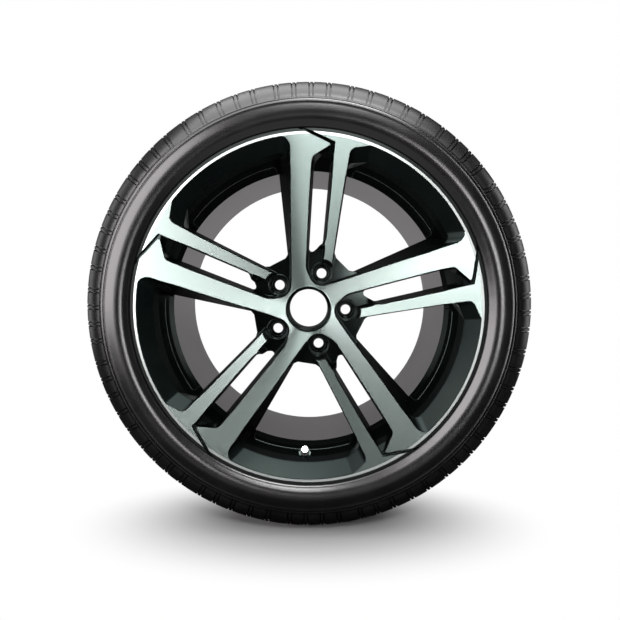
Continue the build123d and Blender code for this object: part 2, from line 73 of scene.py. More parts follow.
# Material slots of the wheel, in order.
(
    GLOSS_BLACK,
    MACHINED_FACE,
    LIP_PAINT,
    BARREL_PAINT,
    BAND_PAINTED_LIGHT,
    FLANGE_PAINTED_HIGHLIGHT,
    FLANK_BLACK,
    MACHINED_LIP_PAINTED_LIGHT,
) = range(8)
BLACK_TONES = ((0.0008, 0.0011, 0.001), (0.0016, 0.0022, 0.002))

# Black paint wrapped over each edge of the machined face: its width on the face as (radius, width),
# how far it stands out, how far it runs down the flank, and the share of its width that it has below.
EDGE_WIDTH_AT = ((0.190, 0.0013), (0.207, 0.0002))
EDGE_PROUD = 0.00006
EDGE_DROP = 0.0005
EDGE_UNDER = 0.5
# The paint also fills the corner between a slot's rounded heel and the straight edge of the thin spoke.
# Both are given on the first spoke: the edge's place at one height with its slope, and the corner's reach.
THIN_EDGE_X = 0.0214
THIN_EDGE_Z = 0.074
THIN_EDGE_SLOPE = 0.1
THIN_EDGE_SLACK = 0.0003
HEEL_X = (0.010, 0.0255)
HEEL_Z = (0.086, 0.104)

# Cast ridge round the sunk field of the rim behind each window: it runs along one height, with rounded
# corners and its ends turned back.
RIDGE_HEIGHT = 0.075
RIDGE_FOOT = 0.058
RIDGE_SPAN = (31.0, 71.8)
RIDGE_CORNER = 0.006
RIDGE_HALF = 0.0008
RIDGE_LEAN = 0.38
RIDGE_RISE_POINTS = 6
RIDGE_CORNER_POINTS = 7
RIDGE_LEVEL_POINTS = 40

# Turned rings of each bolt seat, as (radius, height, half width).
BOLT_CIRCLE_R = 0.056
BOLT_ANGLE = 69.6
BOLT_RINGS = ((0.0154, 0.068, 0.0009), (0.0131, 0.0668, 0.0006), (0.0108, 0.0612, 0.0006))
BOLT_RING_POINTS = 48
ROUND_SIDES = 8

# Tyre: the tread with its grooves, and the drop of the outer ribs as (drop, height).
TYRE_R = 0.3226
TREAD_DEPTH = 0.007
GROOVE_AT = 0.046
GROOVE_HALF = 0.0055
GROOVE_EDGE = 0.0007
OUTER_RIB_EDGE = 0.00007
RIB_POINTS = 5
RIB_DROP = ((0.0006, 0.060), (0.0014, 0.070), (0.0026, 0.081))
# Sidewall from the shoulder to the rim, bead and inner liner, as (radius, height).
SIDEWALL = (
    (0.3184, 0.0910),
    (0.3120, 0.1012),
    (0.3035, 0.1100),
    (0.2940, 0.1162),
    (0.2840, 0.1183),
    (0.2716, 0.1190),
    (0.2658, 0.11865),
    (0.2618, 0.1178),
    (0.2578, 0.1162),
    (0.2548, 0.1144),
    (0.2525, 0.1129),
    (0.2508, 0.1119),
)
BEAD = ((0.2500, 0.1113), (0.2493, 0.1106), (0.2488, 0.1096), (0.2405, 0.1014), (0.2312, 0.1014))
LINER = ((0.2300, 0.0925), (0.2420, 0.0960), (0.2560, 0.1030), (0.2930, 0.1040), (0.3081, 0.0820))
FRONT_CURVE_STEPS = 4
BACK_CURVE_STEPS = 2
# Raised rings of the sidewall: their radii, and their section as (share of half width, share of height).
RING_RADII = (0.2856, 0.2817)
RING_HEIGHT = 0.0002
RING_HALF = 0.0007
RING_SECTION = ((-1.0, 0), (-0.4, 1), (0.4, 1), (1.0, 0))
RING_RISE = (0.15, 1.0)
RING_CLEAR = 2.2 * RING_HALF
# Slits across the shoulder, in pairs whose pitch varies. They are deeper where the shoulder turns over, and
# lean on the tread, by a turn in radians per metre below a height.
PITCH_PATTERN = (0.9, 1.18, 1.0, 1.04, 0.94, 0.9, 1.22, 0.92, 0.9)
PITCH_REPEATS = 8
SLIT_WIDTH = 0.0023
SLIT_WALL = 0.0003
SLIT_SPACING = 0.0058
SLIT_DEPTH = 0.0026
SLIT_START_R = 0.2876
SLIT_RUN = 0.0015
SHOULDER_DEPTH = 0.0012
SHOULDER_HEIGHT = 0.086
SHOULDER_RUN = 0.008
LEAN_HEIGHT = 0.088
LEAN_TURN = 1.3
TYRE_SHARP = math.radians(38)
# The sidewall's sheen gives way to the duller tread between two radii.
SHEEN_END_R = 0.284
TREAD_SHEEN_R = 0.290
SIDEWALL_ROUGHNESS = 0.23
TREAD_ROUGHNESS = 0.38

# Softboxes, all aimed at the wheel's centre, as (name, place, size, power, tint).
WHITE = (1.0, 1.0, 1.0)
WARM = (1.0, 0.955, 0.965)
LAMPS = (
    ("left", (-1.28, -1.9, 0.46), (1.29, 1.46), 35, WARM),
    ("right", (0.42, -2.3, 0.16), (0.32, 0.36), 3.7, WARM),
    ("low_right", (0.62, -2.3, -0.24), (0.25, 0.8), 6, WHITE),
    ("upper", (0.3, -2.3, 1.98), (1.1, 0.5), 34, WHITE),
    ("overhead", (-0.1, -0.45, 1.45), (1.95, 2.15), 42, WHITE),
    ("rim_left", (-1.7, 0.5, 0.3), (0.5, 1.6), 3, WHITE),
    ("rim_right", (1.7, 0.5, 0.3), (0.5, 1.6), 4, WHITE),
)
# The room is dark in front and beside the wheel and pale behind it, by the share of a direction along Y.
ROOM_DARK = (0.024, 0.034, 0.032)
ROOM_PALE = (0.9, 0.9, 0.9)
ROOM_PALE_FROM = 0.84
ROOM_PALE_TO = 0.92
ROOM_IN_GLOSS = 0.4

# Floor: a patch under the tyre where the lit grey floor shows through the white, placed and sized to give the
# tyre's contact shadow, a painted shadow in part; and two stretches of floor that glow only in reflections,
# painted reflections in metal and paint.
FLOOR_Z = -TYRE_R
FLOOR_HALF = 6.0
FLOOR_GREY = (0.34, 0.34, 0.34, 1)
SHADOW_PATCH_MIDDLE = (0.0, -0.07, 0.0)
SHADOW_PATCH_HALF = (0.37, 0.15, 1.0)
SHADOW_PATCH_CORE = 0.25
GLOW_FRONT_MIDDLE = (-0.05, -0.8, 0.0)
GLOW_FRONT_NEAR = 0.25
GLOW_FRONT_FAR = 0.45
GLOW_FRONT_STRENGTH = 0.35
GLOW_FRONT_REST = 0.02
GLOW_BEHIND_MIDDLE = (0.0, 3.6, 0.0)
GLOW_BEHIND_NEAR = 2.9
GLOW_BEHIND_FAR = 3.3
GLOW_BEHIND_STRENGTH = 0.36

# Camera in front of the styled face, a little above the axle, looking at the wheel's centre.
CAMERA_DISTANCE = 0.701
CAMERA_RISE = math.radians(2.9)
CAMERA_SWING = math.radians(0.35)
CAMERA_SENSOR = 36.0
CAMERA_CLIP = 0.01
PIXELS = 620
FOCAL_PIXELS = 425.0
WHEEL_PIXEL = (308.9, 306.0)

# Noise mostly stays between these values.
NOISE_LOW = 0.3
NOISE_HIGH = 0.7
# Corners of the CAD mesh count as one place when they agree to this many digits.
PLACE_DIGITS = 6
TINY = 1e-12


def feed(tree, socket, value):
    """Sets an input to a constant, or links another node's output to it."""
    if isinstance(value, bpy.types.NodeSocket):
        tree.links.new(value, socket)
    else:
        socket.default_value = value


def add_node(tree, kind, inputs, output, **settings):
    """Adds a node, feeds its inputs and gives one of its outputs."""
    made = tree.nodes.new("ShaderNode" + kind)
    for key, value in settings.items():
        setattr(made, key, value)
    for key, value in inputs.items():
        feed(tree, made.inputs[key], value)
    return made.outputs[output]


def noise(tree, coords, scale, detail, roughness=0.6):
    inputs = {"Vector": coords, "Scale": scale, "Detail": detail, "Roughness": roughness}
    return add_node(tree, "TexNoise", inputs, "Fac")


def ramp(tree, source, low, high, start=NOISE_LOW, end=NOISE_HIGH):
    """Colour that runs from low at the start to high at the end of the source."""
    made = tree.nodes.new("ShaderNodeValToRGB")
    steps = made.color_ramp.elements
    steps[0].position = start
    steps[1].position = end
    steps[0].color = (*low, 1.0)
    steps[1].color = (*high, 1.0)
    feed(tree, made.inputs["Fac"], source)
    return made.outputs["Color"]


def map_range(tree, source, start, end, low, high, **settings):
    """Value that runs from low at the start to high at the end of the source."""
    inputs = {"Value": source, "From Min": start, "From Max": end, "To Min": low, "To Max": high}
    return add_node(tree, "MapRange", inputs, "Result", **settings)


def spread(tree, source, low, high):
    """Value that follows a noise between low and high."""
    return map_range(tree, source, NOISE_LOW, NOISE_HIGH, low, high)


def vary(tree, source, middle, share):
    """Value that follows a noise to a share above and below a middle."""
    return spread(tree, source, middle * (1 - share), middle * (1 + share))


def arithmetic(tree, operation, first, second):
    return add_node(tree, "Math", {0: first, 1: second}, "Value", operation=operation)


def vector_with(tree, operation, vector, other):
    return add_node(tree, "VectorMath", {0: vector, 1: other}, "Vector", operation=operation)


def vector_length(tree, vector):
    return add_node(tree, "VectorMath", {0: vector}, "Value", operation="LENGTH")


def bump(tree, height, strength, distance, normal=None):
    """Normal roughened by a height, starting from another normal if one is given."""
    inputs = {"Height": height, "Strength": strength, "Distance": distance}
    if normal is not None:
        inputs["Normal"] = normal
    return add_node(tree, "Bump", inputs, "Normal")


def object_coords(tree):
    return add_node(tree, "TexCoord", {}, "Object")


def axle_radius(tree, coords):
    """Distance from the axle, which lies along Y."""
    return vector_length(tree, vector_with(tree, "MULTIPLY", coords, (1, 0, 1)))


def new_material(name):
    made = bpy.data.materials.new(name)
    made.use_nodes = True
    return made, made.node_tree


def set_shader(tree, inputs):
    shader = tree.nodes["Principled BSDF"]
    for key, value in inputs.items():
        feed(tree, shader.inputs[key], value)


def machined_metal(name, tones, roughness, streak):
    """Bright turned alloy with fine circular tool marks."""
    made, tree = new_material(name)
    coords = object_coords(tree)
    across_marks = add_node(tree, "CombineXYZ", {"X": axle_radius(tree, coords)}, "Vector")
    marks = noise(tree, across_marks, scale=900.0, detail=3.0, roughness=0.7)
    cloud = noise(tree, coords, scale=14.0, detail=3.0)
    set_shader(tree, {
        "Base Color": ramp(tree, marks, *tones),
        "Roughness": vary(tree, cloud, roughness, share=0.015),
        "Metallic": 1.0,
        "Anisotropic": streak,
        "Anisotropic Rotation": 0.25,
        "Tangent": add_node(tree, "Tangent", {}, "Tangent", direction_type="RADIAL", axis="Y"),
        "Normal": bump(tree, marks, strength=0.015, distance=0.00003),
    })
    return made


def paint(name, tones, roughness, shine, corner=0.0012):
    """Baked paint with a slight orange-peel ripple and softened corners."""
    made, tree = new_material(name)
    coords = object_coords(tree)
    cloud = noise(tree, coords, scale=22.0, detail=3.0)
    peel = noise(tree, coords, scale=520.0, detail=1.0, roughness=0.4)
    rounded = add_node(tree, "Bevel", {"Radius": corner}, "Normal", samples=4)
    set_shader(tree, {
        "Base Color": ramp(tree, cloud, *tones),
        "Roughness": vary(tree, cloud, roughness, share=0.15),
        "Specular IOR Level": shine,
        "Specular Tint": (0.78, 1.0, 0.94, 1),
        "Normal": bump(tree, peel, strength=0.05, distance=0.00012, normal=rounded),
    })
    return made


def bright_metal(name, tones, roughness, scale=700.0):
    """Smooth metal with a cloudy surface."""
    made, tree = new_material(name)
    cloud = noise(tree, object_coords(tree), scale, detail=3.0)
    set_shader(tree, {
        "Base Color": ramp(tree, cloud, *tones),
        "Roughness": vary(tree, cloud, roughness, share=0.1),
        "Metallic": 1.0,
        "Normal": bump(tree, cloud, strength=0.05, distance=0.00005),
    })
    return made


def tyre_rubber():
    """Moulded rubber: faint bloom, fine mould texture, and a sidewall shinier than the tread."""
    made, tree = new_material("tyre_rubber")
    coords = object_coords(tree)
    cloud = noise(tree, coords, scale=18.0, detail=5.0, roughness=0.65)
    grain = noise(tree, coords, scale=1400.0, detail=2.0)
    sheen = map_range(
        tree, axle_radius(tree, coords), SHEEN_END_R, TREAD_SHEEN_R, SIDEWALL_ROUGHNESS, TREAD_ROUGHNESS
    )
    set_shader(tree, {
        "Base Color": ramp(tree, cloud, low=(0.0014, 0.0014, 0.0015), high=(0.0026, 0.0026, 0.0028)),
        "Roughness": arithmetic(tree, "MULTIPLY", sheen, spread(tree, cloud, low=0.92, high=1.1)),
        "Specular IOR Level": 0.95,
        "Normal": bump(tree, grain, strength=0.10, distance=0.0001),
    })
    return made


def valve_rubber():
    """Soft black rubber with an uneven sheen."""
    made, tree = new_material("valve_rubber")
    cloud = noise(tree, object_coords(tree), scale=300.0, detail=3.0)
    set_shader(tree, {
        "Base Color": ramp(tree, cloud, low=(0.010, 0.010, 0.011), high=(0.018, 0.018, 0.019)),
        "Roughness": spread(tree, cloud, low=0.38, high=0.5),
        "Normal": bump(tree, cloud, strength=0.1, distance=0.0001),
    })
    return made


def wheel_finishes():
    """Finishes of the wheel, in the order of its material slots."""
    face_tones = ((0.46, 0.558, 0.525), (0.526, 0.63, 0.594))
    # The lip is the same turned alloy as the face; its paler tone is painted light that makes the lip read
    # brighter than the face under the same lamps.
    lip_painted_light_tones = ((0.77, 0.83, 0.80), (0.83, 0.89, 0.86))
    cone_tones = ((0.0016, 0.0026, 0.0024), (0.0026, 0.0042, 0.0039))
    barrel_tones = ((0.40, 0.38, 0.38), (0.45, 0.43, 0.43))
    # The band is the black paint made a little paler: painted light for the lit strip along the band.
    band_painted_light_tones = ((0.0025, 0.003, 0.003), (0.004, 0.0048, 0.0047))
    # The flange's grey, paler than the black paint, is a painted highlight for the thin grey line along the
    # flange's outer edge.
    flange_highlight_tones = ((0.016, 0.017, 0.017), (0.022, 0.023, 0.023))
    return (
        paint("gloss_black", BLACK_TONES, roughness=0.13, shine=0.5, corner=0.0018),
        machined_metal("machined_face", face_tones, roughness=0.264, streak=1.0),
        paint("lip_paint", cone_tones, roughness=0.30, shine=0.22, corner=0.003),
        bright_metal("barrel_paint", barrel_tones, roughness=0.36, scale=14.0),
        paint("band_painted_light", band_painted_light_tones, roughness=0.2, shine=0.6, corner=0.0022),
        paint("flange_painted_highlight", flange_highlight_tones, roughness=0.35, shine=0.4),
        paint("flank_black", BLACK_TONES, roughness=0.5, shine=0.04, corner=0.0018),
        machined_metal("machined_lip_painted_light", lip_painted_light_tones, roughness=0.42, streak=0.6),
    )


def face_line(radius):
    """Height of the machined cone at a radius."""
    share = np.clip((radius - HUB_FLAT_R) / (LIP_INNER_R - HUB_FLAT_R), 0, 1)
    return HUB_FACE_HEIGHT + (LIP_HEIGHT - HUB_FACE_HEIGHT) * share


def polygon_vectors(mesh, key):
    values = np.zeros(len(mesh.polygons) * 3, np.float32)
    mesh.polygons.foreach_get(key, values)
    return values.reshape(-1, 3)


def wheel_slots(mesh):
    """Material slot of each face of the wheel, from where it lies and which way it looks."""
    centre = polygon_vectors(mesh, "center")
    normal = polygon_vectors(mesh, "normal")
    radius = np.hypot(centre[:, 0], centre[:, 2])
    height = -centre[:, 1]
    towards = -normal[:, 1]
    inward = -(normal[:, 0] * centre[:, 0] + normal[:, 2] * centre[:, 2]) / np.maximum(radius, TINY)
    inside = (inward > INSIDE_INWARD) & (radius > BARREL_R - BARREL_SLACK)
    band = (height < CONE_END_HEIGHT) & (height > BAND_END_HEIGHT) & (radius > BAND_LEAST_R)
    flange = (radius > LIP_OUTER_R - LIP_SLACK) & (height > BAND_END_HEIGHT) & (towards > FLANGE_TOWARDS)
    flank = (np.abs(towards) < FLANK_TOWARDS) & (radius < BARREL_R - BARREL_SLACK)
    face = (towards > FACE_TOWARDS) & (height > face_line(radius) - FACE_SLACK) & (radius < LIP_OUTER_R)
    slots = np.full(len(radius), GLOSS_BLACK, np.int32)
    slots[inside & (height > CONE_END_HEIGHT) & (towards > CONE_TOWARDS)] = LIP_PAINT
    slots[inside & band] = BAND_PAINTED_LIGHT
    slots[inside & (height < LEDGE_FOOT_HEIGHT)] = BARREL_PAINT
    slots[flange] = FLANGE_PAINTED_HIGHLIGHT
    slots[flank] = FLANK_BLACK
    slots[face] = MACHINED_FACE
    slots[face & (radius > LIP_INNER_R)] = MACHINED_LIP_PAINTED_LIGHT
    return slots


def dress_wheel():
    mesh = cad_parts["wheel"].data
    mesh.materials.clear()
    for finish in wheel_finishes():
        mesh.materials.append(finish)
    mesh.polygons.foreach_set("material_index", wheel_slots(mesh))
    mesh.update()


def dress_valve():
    brass = bright_metal("brass", ((0.60, 0.44, 0.20), (0.70, 0.54, 0.28)), roughness=0.3)
    cap_metal = bright_metal("cap_metal", ((0.80, 0.81, 0.80), (0.88, 0.89, 0.88)), roughness=0.22)
    finishes = {
        "valve_stem": valve_rubber(),
        "valve_tube": brass,
        "valve_core": brass,
        "valve_pin": brass,
        "valve_cap": cap_metal,
    }
    for name, finish in finishes.items():
        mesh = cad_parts[name].data
        mesh.materials.clear()
        mesh.materials.append(finish)


def joined(parts):
    """Points and faces of several parts, numbered as one."""
    points, faces = [], []
    for part_points, part_faces in parts:
        start = len(points)
        points.extend(tuple(point) for point in part_points)
        faces.extend(tuple(start + k for k in face) for face in part_faces)
    return points, faces


def add_piece(name, points, faces, finish, slot):
    """Makes a mesh object that rides on the wheel."""
    mesh = bpy.data.meshes.new(name)
    mesh.from_pydata(points, [], faces)
    mesh.update()
    mesh.materials.append(finish)
    piece = bpy.data.objects.new(name, mesh)
    bpy.context.scene.collection.objects.link(piece)
    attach(piece, "wheel")
    return piece


def shade_smooth(piece):
    piece.data.polygons.foreach_set("use_smooth", np.ones(len(piece.data.polygons), bool))


def unit(vectors):
    return vectors / np.maximum(np.linalg.norm(vectors, axis=1, keepdims=True), TINY)


def face_border():
    """Corner places of the machined face, their normals, and the steps round its border."""
    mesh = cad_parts["wheel"].data
    ids, normals, sides = {}, {}, set()
    for polygon in mesh.polygons:
        if polygon.material_index not in (MACHINED_FACE, MACHINED_LIP_PAINTED_LIGHT):
            continue
        corners = []
        for vertex in polygon.vertices:
            place = tuple(round(v, PLACE_DIGITS) for v in mesh.vertices[vertex].co)
            corner = ids.setdefault(place, len(ids))
            corners.append(corner)
            normals[corner] = normals.get(corner, 0) + np.array(polygon.normal) * polygon.area
        sides.update(zip(corners, corners[1:] + corners[:1]))
    steps = {}
    for first, second in sorted(sides):
        if (second, first) not in sides:
            steps.setdefault(first, []).append(second)
    return list(ids), normals, steps


def face_outline():
    """Loops round the machined face, each as its points and their normals."""
    places, normals, steps = face_border()
    loops = []
    while steps:
        start = min(steps)
        loop, here = [], start
        while here in steps:
            following = steps[here].pop(0)
            if not steps[here]:
                del steps[here]
            loop.append(here)
            here = following
        if here == start and len(loop) > 3:
            line = np.array([places[k] for k in loop])
            upright = unit(np.array([normals[k] for k in loop]))
            loops.append((line, upright))
    return loops


def heel_corners(line):
    """Runs of one outline loop that lie between a slot's heel and the thin spoke's straight edge."""
    for spoke in range(SPOKES):
        turn = math.radians(SPOKE_STEP * spoke)
        x = line[:, 0] * math.cos(turn) + line[:, 2] * math.sin(turn)
        z = line[:, 2] * math.cos(turn) - line[:, 0] * math.sin(turn)
        edge_x = THIN_EDGE_X + (z - THIN_EDGE_Z) * THIN_EDGE_SLOPE
        held = (x > HEEL_X[0]) & (x < HEEL_X[1]) & (z > HEEL_Z[0]) & (z < HEEL_Z[1])
        chosen = np.flatnonzero(held & (x < edge_x + THIN_EDGE_SLACK))
        if len(chosen) > 2:
            gap = np.flatnonzero(np.diff(chosen) > 1)
            yield np.roll(chosen, -gap[0] - 1) if len(gap) else chosen


def corner_prism(line, upright):
    """Flat block of paint over one painted corner."""
    count = len(line)
    points = np.vstack([line + upright * EDGE_PROUD, line - upright * EDGE_DROP])
    faces = [tuple(range(count)), tuple(range(2 * count - 1, count - 1, -1))]
    for k in range(count):
        following = (k + 1) % count
        faces.append((following, k, count + k, count + following))
    return points, faces


def edge_band(line, upright):
    """Band of paint along one loop of the outline, from the face over the edge and down the flank."""
    along = unit(np.roll(line, -1, axis=0) - line)
    left = np.cross(upright, along)
    inward = unit(left + np.roll(left, 1, axis=0))
    width = np.interp(np.hypot(line[:, 0], line[:, 2]), *zip(*EDGE_WIDTH_AT))[:, None]
    outside = line - inward * 2 * EDGE_PROUD
    rows = (
        line + inward * width + upright * EDGE_PROUD,
        outside + upright * EDGE_PROUD,
        outside - upright * EDGE_DROP,
        line + inward * width * EDGE_UNDER - upright * EDGE_DROP,
    )
    many = len(rows)
    faces = []
    for k in range(len(line)):
        near, far = many * k, many * ((k + 1) % len(line))
        for side in range(many):
            following = (side + 1) % many
            faces.append((near + side, near + following, far + following, far + side))
    return np.stack(rows, axis=1).reshape(-1, 3), faces


def build_edge_paint():
    parts = []
    for line, upright in face_outline():
        parts += [corner_prism(line[run], upright[run]) for run in heel_corners(line)]
        parts.append(edge_band(line, upright))
    finish = paint("edge_black", BLACK_TONES, roughness=0.4, shine=0.1)
    add_piece("edge_paint", *joined(parts), finish, "alloy")


def round_bead(line, across, outward, half, closed):
    """Points and faces of a round bead along a line, capped at its ends unless it is closed."""
    turn = np.linspace(0, 2 * math.pi, ROUND_SIDES, endpoint=False)[:, None]
    section = np.cos(turn) * across[:, None] + np.sin(turn) * outward[:, None]
    points = (line[:, None] + half * section).reshape(-1, 3)
    count = len(line)
    faces = []
    for k in range(count if closed else count - 1):
        near, far = k * ROUND_SIDES, (k + 1) % count * ROUND_SIDES
        for side in range(ROUND_SIDES):
            following = (side + 1) % ROUND_SIDES
            faces.append((near + side, far + side, far + following, near + following))
    if not closed:
        last = (count - 1) * ROUND_SIDES
        faces.append(tuple(range(ROUND_SIDES)))
        faces.append(tuple(range(last + ROUND_SIDES - 1, last - 1, -1)))
    return points, faces


def rim_inside(height):
    """Inner radius of the rim at a height, between the barrel and the lip cone."""
    return np.interp(height, *zip(*RIM_INSIDE))


def ridge_path():
    """Points of one ridge as (angle, height), from one foot round to the other."""
    first, last = (math.radians(angle) for angle in RIDGE_SPAN)
    corner_foot = RIDGE_HEIGHT - RIDGE_CORNER
    corner_turn = RIDGE_CORNER / rim_inside(RIDGE_HEIGHT)
    rising = [(first, height) for height in np.linspace(RIDGE_FOOT, corner_foot, RIDGE_RISE_POINTS)[:-1]]
    for t in np.linspace(0, math.pi / 2, RIDGE_CORNER_POINTS):
        rising.append((first + corner_turn * (1 - math.cos(t)), corner_foot + RIDGE_CORNER * math.sin(t)))
    between = np.linspace(first + corner_turn, last - corner_turn, RIDGE_LEVEL_POINTS)[1:-1]
    level = [(angle, RIDGE_HEIGHT) for angle in between]
    falling = [(first + last - angle, height) for angle, height in reversed(rising)]
    return np.array(rising + level + falling)


def build_ridges():
    angles, heights = ridge_path().T
    radius = rim_inside(heights)
    parts = []
    for spoke in range(SPOKES):
        angle = angles + math.radians(SPOKE_STEP * spoke)
        line = np.stack([radius * np.cos(angle), -heights, radius * np.sin(angle)], axis=1)
        along = unit(np.gradient(line, axis=0))
        inward = np.stack([-np.cos(angle), np.full(len(angle), -RIDGE_LEAN), -np.sin(angle)], axis=1)
        inward = unit(inward - along * (inward * along).sum(axis=1, keepdims=True))
        parts.append(round_bead(line, np.cross(along, inward), inward, RIDGE_HALF, closed=False))
    tones = ((0.006, 0.007, 0.0068), (0.010, 0.011, 0.0108))
    finish = paint("ridge_paint", tones, roughness=0.3, shine=0.8)
    shade_smooth(add_piece("rim_ridges", *joined(parts), finish, "alloy"))


def build_bolt_rings():
    turn = np.linspace(0, 2 * math.pi, BOLT_RING_POINTS, endpoint=False)
    across = np.stack([np.cos(turn), np.zeros(BOLT_RING_POINTS), np.sin(turn)], axis=1)
    outward = np.tile((0.0, -1.0, 0.0), (BOLT_RING_POINTS, 1))
    parts = []
    for spoke in range(SPOKES):
        bolt = math.radians(BOLT_ANGLE + SPOKE_STEP * spoke)
        for radius, height, half in BOLT_RINGS:
            middle = (BOLT_CIRCLE_R * math.cos(bolt), -height, BOLT_CIRCLE_R * math.sin(bolt))
            parts.append(round_bead(middle + radius * across, across, outward, half, closed=True))
    tones = ((0.002, 0.0025, 0.0024), (0.004, 0.0045, 0.0044))
    finish = paint("ring_paint", tones, roughness=0.25, shine=0.7)
    shade_smooth(add_piece("bolt_seat_rings", *joined(parts), finish, "alloy"))


def smooth_curve(points, steps):
    """Points of a Catmull-Rom curve through the given points."""
    points = np.array(points, float)
    ends = np.vstack([2 * points[0] - points[1], points, 2 * points[-1] - points[-2]])
    curve = []
    for p0, p1, p2, p3 in zip(ends, ends[1:], ends[2:], ends[3:]):
        bend = 2 * p0 - 5 * p1 + 4 * p2 - p3
        twist = 3 * p1 - p0 - 3 * p2 + p3
        for t in np.linspace(0, 1, steps, endpoint=False):
            curve.append(0.5 * (2 * p1 + (p2 - p0) * t + bend * t**2 + twist * t**3))
    curve.append(points[-1])
    return np.array(curve)


def sidewall_rows(steps):
    """The sidewall curve with its raised rings let in, as (radius, height) rows from the shoulder inwards."""
    curve = smooth_curve(SIDEWALL, steps)
    clear = np.abs(curve[:, :1] - np.array(RING_RADII)).min(axis=1) >= RING_CLEAR
    rows = list(curve[clear])
    for ring in RING_RADII:
        for step, rise in RING_SECTION:
            radius = ring - step * RING_HALF
            height = np.interp(radius, curve[::-1, 0], curve[::-1, 1])
            rows.append(np.array((radius, height)) + np.array(RING_RISE) * RING_HEIGHT * rise)
    return sorted((tuple(row) for row in rows), reverse=True)


def half_profile(steps):
    """Outer surface of the tyre from the middle of the tread to the bead, as (radius, height) rows."""
    floor = TYRE_R - TREAD_DEPTH
    edge = TYRE_R - GROOVE_EDGE
    inner = GROOVE_AT - GROOVE_HALF
    outer = GROOVE_AT + GROOVE_HALF
    rows = [(floor, 0.0), (floor, GROOVE_HALF - GROOVE_EDGE)]
    rows += [(edge, GROOVE_HALF), (TYRE_R, GROOVE_HALF + GROOVE_EDGE)]
    rows += [(TYRE_R, height) for height in np.linspace(GROOVE_HALF, inner, RIB_POINTS)[1:-1]]
    rows += [(TYRE_R, inner - GROOVE_EDGE), (edge, inner)]
    rows += [(floor, inner + GROOVE_EDGE), (floor, outer - GROOVE_EDGE)]
    rows += [(edge, outer), (TYRE_R - OUTER_RIB_EDGE, outer + GROOVE_EDGE)]
    rows += [(TYRE_R - drop, height) for drop, height in RIB_DROP]
    return np.array([*rows, *sidewall_rows(steps), *BEAD])


def slit_depth(radius, height):
    """Depth of a shoulder slit at a row of the profile."""
    on_shoulder = height > GROOVE_AT + GROOVE_HALF
    rise = np.clip((radius - SLIT_START_R) / SLIT_RUN, 0, 1)
    turned_over = np.clip((height - SHOULDER_HEIGHT) / SHOULDER_RUN, 0, 1)
    return np.where(on_shoulder, rise * (SLIT_DEPTH + SHOULDER_DEPTH * turned_over), 0.0)


def tyre_columns():
    """Angles of the mesh columns, and the share of a slit that is cut at each."""
    repeat_turn = 2 * math.pi / PITCH_REPEATS
    pitch = repeat_turn / sum(PITCH_PATTERN)
    slit, wall, spacing = (size / TYRE_R for size in (SLIT_WIDTH, SLIT_WALL, SLIT_SPACING))
    columns = []
    for repeat in range(PITCH_REPEATS):
        for step, share in enumerate(PITCH_PATTERN):
            start = repeat_turn * repeat + pitch * sum(PITCH_PATTERN[:step])
            for first in (start, start + spacing):
                columns += [(first, 0), (first + wall, 1), (first + slit - wall, 1), (first + slit, 0)]
            slit_end = start + spacing + slit
            columns.append(((slit_end + start + pitch * share) / 2, 0))
    angles, cuts = np.array(columns).T
    return angles[:, None], cuts[:, None]


def build_tyre():
    front = half_profile(FRONT_CURVE_STEPS)
    back = half_profile(BACK_CURVE_STEPS)[1:] * (1, -1)
    liner = np.array(LINER)
    profile = np.vstack([front[::-1], back, liner * (1, -1), liner[::-1]])
    tangent = np.roll(profile, -1, axis=0) - np.roll(profile, 1, axis=0)
    outward = np.abs(unit(np.stack([tangent[:, 1], -tangent[:, 0]], axis=1)))
    radius, along = profile.T
    height = np.abs(along)
    is_outer = np.arange(len(profile)) < len(front) + len(back)
    lean = np.where(is_outer, np.clip(LEAN_HEIGHT - height, 0, 1) * LEAN_TURN, 0) * np.sign(along + TINY)
    turn, cut = tyre_columns()
    depth = cut * np.where(is_outer, slit_depth(radius, height), 0)
    angle = -(turn + lean)
    cut_radius = radius - depth * outward[:, 0]
    cut_along = along - depth * outward[:, 1] * np.sign(along)
    points = np.stack([cut_radius * np.cos(angle), -cut_along, cut_radius * np.sin(angle)], axis=2)
    columns, rows = points.shape[:2]
    i, j = np.meshgrid(np.arange(columns), np.arange(rows), indexing="ij")
    next_i, next_j = (i + 1) % columns, (j + 1) % rows
    corners = (i * rows + j, next_i * rows + j, next_i * rows + next_j, i * rows + next_j)
    faces = np.stack(corners, axis=2).reshape(-1, 4).tolist()
    tyre = add_piece("tyre_moulded", points.reshape(-1, 3).tolist(), faces, tyre_rubber(), "tyre_rubber")
    shade_smooth(tyre)
    tyre.data.set_sharp_from_angle(angle=TYRE_SHARP)
    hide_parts("tyre")


def softbox(name, place, size, power, tint):
    data = bpy.data.lights.new(name, "AREA")
    data.shape = "RECTANGLE"
    data.size, data.size_y = size
    data.energy = power
    data.color = tint
    lamp = bpy.data.objects.new(name, data)
    lamp.location = place
    lamp.rotation_euler = (-Vector(place)).to_track_quat("-Z", "Y").to_euler()
    bpy.context.scene.collection.objects.link(lamp)


